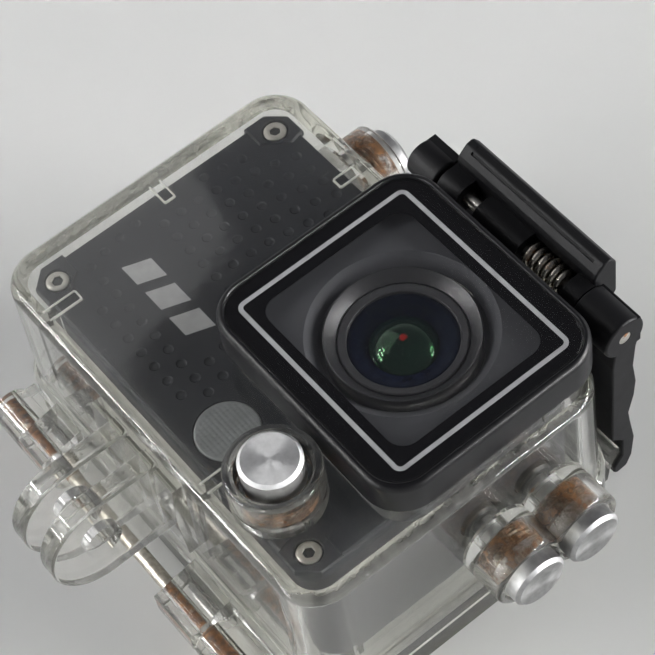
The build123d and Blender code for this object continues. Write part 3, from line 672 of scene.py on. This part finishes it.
def screw_tabs(b):
    """A raised six-sided tab round each screw, the four mirrored about the plate's middle."""
    corners = [(3.2, -2.9), (3.2, 0.5), (0.9, 2.9), (-2.5, 2.9), (-3.1, 0.6), (-0.4, -3.0)]
    for sx, sy in SCREW_SPOTS:
        ox, oy = (1 if sx > BODY.x else -1), (1 if sy > BODY.y else -1)
        ordered = corners if ox * oy > 0 else corners[::-1]
        outline = []
        for shrink, z in ((0.0, TAB_FOOT), (0.0, TAB_TOP - 0.25), (0.07, TAB_TOP)):
            size = 1 - shrink
            outline.append(b.loop([(sx + ox * u * size, sy + oy * v * size) for u, v in ordered], z))
        b.skin(outline)
        hole = b.rounds(((1.95, TAB_TOP), (1.85, TAB_TOP - 0.1), (1.85, TAB_FOOT)), sx, sy, 32)
        b.skin(hole)
        b.sheet(outline[-1], [hole[0]])


def front_cover():
    b = Builder()
    side = plate_edge(b)
    holes = plate_holes(b)
    b.sheet(side[0], [top for top, _ in holes] + dimples(b))
    b.sheet(side[-1], [bottom for _, bottom in holes], flip=True)
    screw_tabs(b)
    piece("front_plate", b.finish("front_plate"), "cover_charcoal", replaces=("camera_front_cover",))


def hexagon(radius, n, turn, x, y):
    """Points round a six-sided outline, one for each point of a circle of n."""
    ring = []
    for i in range(n):
        a = 2 * pi * i / n
        reach = radius * cos(pi / 6) / cos((a - turn) % (pi / 3) - pi / 6)
        ring.append((x + reach * cos(a), y + reach * sin(a)))
    return ring


def cover_screws():
    """Four button-head screws with a six-sided socket."""
    b = Builder()
    steps, head, tip = 48, 26.4, 20.6
    rows = ((0.78, tip), (0.78, 25.42), (1.58, 25.42), (1.62, 25.5), (1.62, head - 0.35),
            (1.52, head - 0.12), (1.3, head), (1.05, head))
    for index, (x, y) in enumerate(SCREW_SPOTS):
        loops = b.rounds(rows, x, y, steps)
        for radius, depth in ((0.86, 0.03), (0.8, 0.1), (0.8, 0.62)):
            loops.append(b.loop(hexagon(radius, steps, 0.5 * index, x, y), head - depth))
        b.skin(loops)
        b.fan(loops[0], tip)
        b.fan(loops[-1], head - 0.75)
    piece("cover_screws", b.finish("cover_screws"), "screw_nickel", replaces=("front_cover_screws",))


def diffuser():
    """Round lamp window: a plain rim round a field of fine crossed ribs."""
    b = Builder()
    x, y = DIFFUSER.x, DIFFUSER.y
    steps, rows, row_gap = 144, 34, 0.105
    top, foot = 26.22, 21.0
    rib_pitch, rib_height = 0.62, 0.06
    loops = b.rounds(((1.9, foot), (1.9, 25.25), (4.3, 25.25), (4.3, top - 0.2), (4.2, top - 0.04),
                      (4.05, top), (3.7, top)), x, y, steps)
    for row in range(rows):
        ring = []
        for px, py in circle(3.65 - row * row_gap, steps):
            rib = rib_height * (abs(sin(px * pi / rib_pitch)) + abs(sin(py * pi / rib_pitch)))
            ring.append((x + px, y + py, top - 0.08 + rib))
        loops.append(b.loop(ring))
    b.skin(loops)
    b.fan(loops[0], foot)
    b.fan(loops[-1], top - 0.05)
    piece("lamp_diffuser", b.finish("lamp_diffuser", 50), "diffuser_white", replaces=("light_diffuser",))


def plate_mark():
    """A plain pad print of three slanted bars."""
    b = Builder()
    y0, y1, wide, slant, pitch = -10.2, -6.4, 3.6, 1.4, 5.3
    for index in range(3):
        x = -23.6 + pitch * index
        corners = [(x, y0), (x + wide, y0), (x + wide + slant, y1), (x + slant, y1)]
        low, high = b.loop(corners, PLATE_TOP - 0.02), b.loop(corners, PLATE_TOP + 0.02)
        b.skin([low, high])
        b.cap(high)
        b.cap(low, flip=True)
    piece("plate_mark", b.finish("plate_mark"), "print_grey", slot="cover_charcoal")


# ---------------------------------------------------------------- lens port
GLASS_TOP, GLASS_FOOT = 38.4, 37.9
MASK_TOP, MASK_SHELF, MASK_FOOT = 37.86, 37.66, 36.45
BEZEL_TOP, BEZEL_FOOT = 38.58, 33.2
PANE = (17.65, 15.75, 4.6)               # half width, half height and corner radius
MASK = (17.62, 15.72, 4.57)
MASK_STEP = (15.4, 13.5, 4.0)
MASK_OPENING = (13.7, 11.4, 2.5)
LINE = (15.45, 13.04, 0.9)
BEZEL = (18.7, 16.8, 5.6)


def port_loop(b, outline, z, shrink=0.0, steps=8):
    """A rounded rectangle about the port's middle."""
    half_x, half_y, corner = outline
    points = rounded_loop(half_x - shrink, half_y - shrink, corner - shrink, PORT.x, PORT.y, steps)
    return b.loop(points, z)


def window_pane():
    b = Builder()
    pane = [port_loop(b, PANE, z, shrink) for shrink, z in
            ((0.0, GLASS_FOOT), (0.0, GLASS_TOP - 0.15), (0.15, GLASS_TOP))]
    b.skin(pane)
    b.cap(pane[0], flip=True)
    b.cap(pane[-1])
    piece("window_pane", b.finish("window_pane"), "port_glass", replaces=("port_window",))


def window_mask():
    """The black print behind the pane, with a step down to its back edge."""
    b = Builder()
    outer = [port_loop(b, MASK, z) for z in (MASK_FOOT, MASK_TOP)]
    inner = [port_loop(b, MASK_OPENING, z) for z in (MASK_SHELF, MASK_TOP)]
    shelf, foot = [port_loop(b, MASK_STEP, z) for z in (MASK_SHELF, MASK_FOOT)]
    b.skin(outer)
    b.skin(inner)
    b.skin([foot, shelf])
    b.sheet(outer[1], [inner[1]])
    b.sheet(shelf, [inner[0]], flip=True)
    b.sheet(outer[0], [foot], flip=True)
    piece("window_mask", b.finish("window_mask"), "mask_black", slot="bezel_black")


def window_line():
    """The thin pale frame printed on the mask."""
    b = Builder()
    half, low, high = 0.3, MASK_TOP + 0.005, MASK_TOP + 0.025
    ring = [port_loop(b, LINE, z, shrink, 6) for z, shrink in
            ((low, -half), (high, -half), (high, half), (low, half))]
    b.skin(ring, closed=True)
    piece("window_line", b.finish("window_line"), "print_grey", slot="bezel_black")


def bezel():
    """The black frame of the port: an outer wall rolled over a soft rim and down inside."""
    b = Builder()
    outer = [(0.12, BEZEL_FOOT), (0.0, 33.32), (0.0, 37.5), (0.06, 37.95), (0.22, 38.3), (0.48, 38.52),
             (0.68, BEZEL_TOP)]
    inner = [(0.82, 38.56), (0.92, 38.44), (0.95, 38.3), (0.95, BEZEL_FOOT)]
    b.skin([port_loop(b, BEZEL, z, shrink, 12) for shrink, z in outer + inner], closed=True)
    piece("port_frame", b.finish("port_frame", 40), "bezel_black", replaces=("port_bezel",))


# ---------------------------------------------------------------- lens
def turned_lens_part(name, profiles, angle, material, **links):
    """A piece of the lens, turned from outlines of (radius, z) about the port's middle."""
    b = Builder()
    for profile in profiles:
        turned(b, profile, x=PORT.x, y=PORT.y)
    piece(name, b.finish(name, angle), material, **links)


def dome_profile(radius=4.36, rim=33.28, foot=33.24, curve=6.0, steps=24):
    """A flat back and a round front of radius curve."""
    middle = rim - sqrt(curve ** 2 - radius ** 2)
    full = asin(radius / curve)
    angles = [full * (1 - i / steps) for i in range(1, steps)]
    front = [(curve * sin(a), middle + curve * cos(a)) for a in angles]
    return [(0, foot), (radius, foot), (radius, rim)] + front + [(0, middle + curve)]


def lens():
    holder = [(8.2, 33.0), (11.0, 33.0), (11.0, 32.3), (10.95, 20.5), (8.2, 20.5)]
    ring = [(8.3, 33.0), (9.75, 33.0), (9.75, 36.0), (9.7, 36.12), (9.6, 36.17), (9.5, 36.12),
            (8.34, 34.98), (8.24, 34.86), (8.22, 34.5)]
    turned_lens_part("lens_front_ring", [holder, ring], 30, "lens_ring_satin",
                     replaces=("lens_bezel_ring", "lens_housing"))
    tube = [(6.2, 20.6), (8.1, 20.6), (8.1, 34.82), (8.02, 34.95), (7.88, 35.0), (7.05, 34.8),
            (6.97, 34.72), (6.95, 34.3), (6.6, 34.0), (6.2, 33.0)]
    turned_lens_part("lens_tube", [tube], 30, "lens_black", replaces=("lens_barrel",))
    element = [(0, 30.8), (6.9, 30.8), (6.94, 34.3), (6.85, 34.36), (6.3, 34.22), (5.4, 33.85),
               (4.62, 33.44), (4.5, 33.36), (4.36, 33.3), (0, 33.2)]
    turned_lens_part("lens_front_element", [element], 50, "lens_dark", slot="lens_glass",
                     replaces=("front_lens",))
    turned_lens_part("lens_dome", [dome_profile()], 50, "lens_coated", slot="lens_glass",
                     replaces=("rear_lens",))


# ---------------------------------------------------------------- button springs and stains
OUTWARD = {"X": Vector((1, 0, 0)), "Y": Vector((0, 1, 0)), "Z": Vector((0, 0, 1))}
TURNS = {"Z": Matrix.Identity(3), "X": Matrix(((0, 0, 1), (1, 0, 0), (0, 1, 0))),
         "Y": Matrix(((1, 0, 0), (0, 0, 1), (0, -1, 0)))}
WIRE = 0.35                              # the wire's radius
SPRING_TURNS = 3.6
BORE_GAPS = {"front": 0.87, "top": 0.87, "side_a": 0.17, "side_b": 0.17}   # from spring to stained wall
STAIN = (0.05, 4.2, 0.03)                # foot, top and thickness along the button's bore
# painted shade: foot, top and thickness of the black sleeve at the mouth of the front bore
SHADE_SLEEVE = (2.6, 4.5, 0.04)


def coil(radius, length, flat=0.6, around=10, steps_per_turn=28):
    """A compression spring along local Z. The first and last flat turns lie nearly level."""
    steps = int(SPRING_TURNS * steps_per_turn)
    ends = flat / SPRING_TURNS
    b = Builder()
    rings = []
    for i in range(steps + 1):
        t = i / steps
        a = 2 * pi * SPRING_TURNS * t
        eased = min(max((t - ends) / (1 - 2 * ends), 0), 1)
        z = length * (0.08 * t + 0.92 * eased)
        section = []
        for out, up in circle(WIRE, around):
            section.append(((radius + out) * cos(a), (radius + out) * sin(a), z + up))
        rings.append(b.loop(section))
    b.skin(rings)
    b.cap(rings[0])
    b.cap(rings[-1], flip=True)
    return b


def upright_film(bore, foot, top, thick):
    """A thin sleeve that lines a bore."""
    b = Builder()
    rows = ((bore, foot), (bore, top), (bore - thick, top), (bore - thick, foot))
    b.skin(b.rounds(rows, 0.0, 0.0, 64), closed=True)
    return b


def place_mesh(mesh, axis, origin):
    """Moves a mesh made along local Z to a button's axis."""
    mesh.transform(Matrix.Translation(origin * MM) @ TURNS[axis].to_4x4())
    return mesh


def button_springs_and_stains():
    for button, axis in BUTTONS.items():
        low, high = lo_hi(button + "_button_spring")
        along = "XYZ".index(axis)
        aside = 1 if axis == "X" else 0
        origin = (low + high) / 2
        origin[along] = low[along]
        side = (high[aside] - low[aside]) / 2
        name = button + "_coil"
        mesh = coil(side - WIRE, high[along] - low[along] - 2 * WIRE).finish(name, 60)
        spring = piece(name, place_mesh(mesh, axis, origin + OUTWARD[axis] * WIRE), "spring_rusty",
                       slot="spring_steel", replaces=(button + "_button_spring",))
        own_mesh(spring)
        bore = side + BORE_GAPS[button]
        mesh = upright_film(bore, *STAIN).finish(button + "_stain")
        piece(button + "_stain", place_mesh(mesh, axis, origin), "rust_film", slot="clear_housing")
        if button == "front":
            # a black sleeve of painted shade at the mouth of the front boss
            mesh = upright_film(bore, *SHADE_SLEEVE).finish("front_painted_shade")
            piece("front_painted_shade", place_mesh(mesh, axis, origin), "painted_shade_film", slot="clear_housing")


def tongue_edges():
    """The matt outlines of the clear tongues that hold the camera's plate."""
    z0, z1 = 26.5, 26.74
    wide, half = 0.24, 0.95              # width of the outline, half width of the tongue
    tongues = (((-23.6, -22.0), (0, 1), 5.15), ((10.4, -22.0), (0, 1), 5.15),
               ((-14.6, 21.9), (0, -1), 3.25), ((-31.3, 0.9), (1, 0), 3.65))   # root, direction, length
    for index, ((x, y), (along_x, along_y), length) in enumerate(tongues):
        b = Builder()

        def at(forward, aside):
            return (x + along_x * forward - along_y * aside,
                    y + along_y * forward + along_x * aside)

        outer = [at(0, -half), at(length - wide, -half), at(length, wide - half), at(length, half - wide),
                 at(length - wide, half), at(0, half)]
        back = 1.6 * wide
        inner = [at(0, wide - half), at(length - back, wide - half), at(length - wide, back - half),
                 at(length - wide, half - back), at(length - back, half - wide), at(0, half - wide)]
        sections = []
        for p, q in zip(outer, inner):
            low, high = b.loop([p, q], z0), b.loop([p, q], z1)
            sections.append(low + high[::-1])
        for s0, s1 in zip(sections, sections[1:]):
            for i in range(4):
                b.bm.faces.new((s0[i], s0[(i + 1) % 4], s1[(i + 1) % 4], s1[i]))
        b.cap(sections[0])
        b.cap(sections[-1], flip=True)
        piece("tongue_edge_%d" % (index + 1), b.finish("tongue_edge"), "frosted_edge", slot="clear_housing")


clear_housing()
front_cover()
cover_screws()
diffuser()
plate_mark()
bezel()
window_pane()
window_mask()
window_line()
lens()
button_springs_and_stains()
tongue_edges()


# ---------------------------------------------------------------- floor, light, camera
FLOOR_HALF, FLOOR_DROP = 3.0, 0.0001     # metres
WORLD_STRENGTH = 0.87


def floor():
    mesh = bpy.data.meshes.new("floor")
    corners = [(sx * FLOOR_HALF, sy * FLOOR_HALF, 0) for sx, sy in ((-1, -1), (1, -1), (1, 1), (-1, 1))]
    mesh.from_pydata(corners, [], [(0, 1, 2, 3)])
    made = bpy.data.objects.new("floor", mesh)
    bpy.context.scene.collection.objects.link(made)
    made.location.z = -FLOOR_DROP
    s = Shader("floor_pale")
    shade = s.ramp(s.noise(60, 4), 0.3, 0.7, (0.62, 0.625, 0.61), (0.66, 0.66, 0.645))
    s.set(Base_Color=shade, Roughness=0.55)
    mesh.materials.append(s.mat)


def world():
    """A sky that is pale at the horizon and dark overhead."""
    made = bpy.data.worlds.new("studio")
    bpy.context.scene.world = made
    made.use_nodes = True
    tree = made.node_tree
    back = tree.nodes["Background"]
    coords = tree.nodes.new("ShaderNodeTexCoord")
    split = tree.nodes.new("ShaderNodeSeparateXYZ")
    ramp = tree.nodes.new("ShaderNodeValToRGB")
    stops = ((0.0, (0.80, 0.81, 0.82, 1)), (0.55, (0.10, 0.10, 0.11, 1)))
    for element, (position, colour) in zip(ramp.color_ramp.elements, stops):
        element.position = position
        element.color = colour
    tree.links.new(coords.outputs["Generated"], split.inputs[0])
    tree.links.new(split.outputs["Z"], ramp.inputs[0])
    tree.links.new(ramp.outputs[0], back.inputs["Color"])
    back.inputs["Strength"].default_value = WORLD_STRENGTH


VIEW_RIGHT = Vector((0.6194, 0.7778, -0.1068))
VIEW_AHEAD = Vector((-0.4887, 0.2755, -0.8278))
VIEW_UP = VIEW_RIGHT.cross(VIEW_AHEAD)
CAMERA_PLACE = Vector((138.97, -73.35, 259.09))
CAMERA_LENS = 122.2
STRIP_AWAY, STRIP_SIZE = 1.0, (0.32, 1.3)   # metres
STRIP_AIM = (0, 0, 0.03)
DOT_COLUMNS, DOT_ROWS, DOT_GLOW = 1.5, 7, 5.0


def area_light(name, place, aim, size, power, up=(0, 0, 1), dots=False):
    """A rectangular lamp at place, its face towards aim and its second side along up."""
    data = bpy.data.lights.new(name, "AREA")
    data.shape = "RECTANGLE"
    data.size, data.size_y = size
    data.energy = power
    made = bpy.data.objects.new(name, data)
    bpy.context.scene.collection.objects.link(made)
    back = (Vector(place) - Vector(aim)).normalized()
    across = Vector(up).cross(back).normalized()
    turn = Matrix((across, back.cross(across), back)).transposed().to_4x4()
    made.matrix_world = Matrix.Translation(Vector(place)) @ turn
    made.visible_camera = False
    if dots:
        led_dots(data)


def led_dots(data):
    """Breaks a strip light into staggered rows of small lamps."""
    data.use_nodes = True
    tree = data.node_tree
    shine = tree.nodes["Emission"]

    def maths(operation, a, b):
        node = tree.nodes.new("ShaderNodeMath")
        node.operation = operation
        for socket, value in zip(node.inputs, (a, b)):
            if hasattr(value, "is_output"):
                tree.links.new(value, socket)
            else:
                socket.default_value = value
        return node.outputs[0]

    spread = tree.nodes.new("ShaderNodeSeparateXYZ")
    tree.links.new(tree.nodes.new("ShaderNodeNewGeometry").outputs["Parametric"], spread.inputs[0])
    columns = maths("MULTIPLY", spread.outputs[0], 2 * pi * DOT_COLUMNS)
    rows = maths("MULTIPLY", spread.outputs[1], 2 * pi * DOT_ROWS)
    wave = maths("MULTIPLY", maths("SINE", columns, 0), maths("SINE", rows, 0))
    lit = maths("GREATER_THAN", wave, 0.45)
    tree.links.new(maths("MULTIPLY", lit, DOT_GLOW), shine.inputs["Strength"])


def camera():
    data = bpy.data.cameras.new("camera")
    data.lens = CAMERA_LENS
    data.sensor_width = 36
    data.clip_start = 0.01
    made = bpy.data.objects.new("camera", data)
    bpy.context.scene.collection.objects.link(made)
    ahead = VIEW_AHEAD.normalized()
    right = (VIEW_RIGHT - VIEW_RIGHT.dot(ahead) * ahead).normalized()
    turn = Matrix((right, right.cross(ahead), -ahead)).transposed().to_4x4()
    made.matrix_world = Matrix.Translation(CAMERA_PLACE * MM) @ turn
    bpy.context.scene.camera = made


def lights():
    """Two upright strips of small lamps beside the viewer, and a soft lamp up on the left."""
    for name, side, power in (("strip_left", -1, 11.0), ("strip_right", 1, 26.0)):
        towards = side * 0.94 * VIEW_RIGHT - 0.34 * VIEW_AHEAD
        area_light(name, STRIP_AWAY * towards + Vector(STRIP_AIM), STRIP_AIM, STRIP_SIZE, power,
                   up=VIEW_UP, dots=True)
    area_light("soft_top", (-0.75, -0.2, 0.55), (0, 0, 0), (0.9, 0.9), 1.5)


floor()
world()
lights()
camera()
bpy.context.scene.view_settings.view_transform = "Standard"
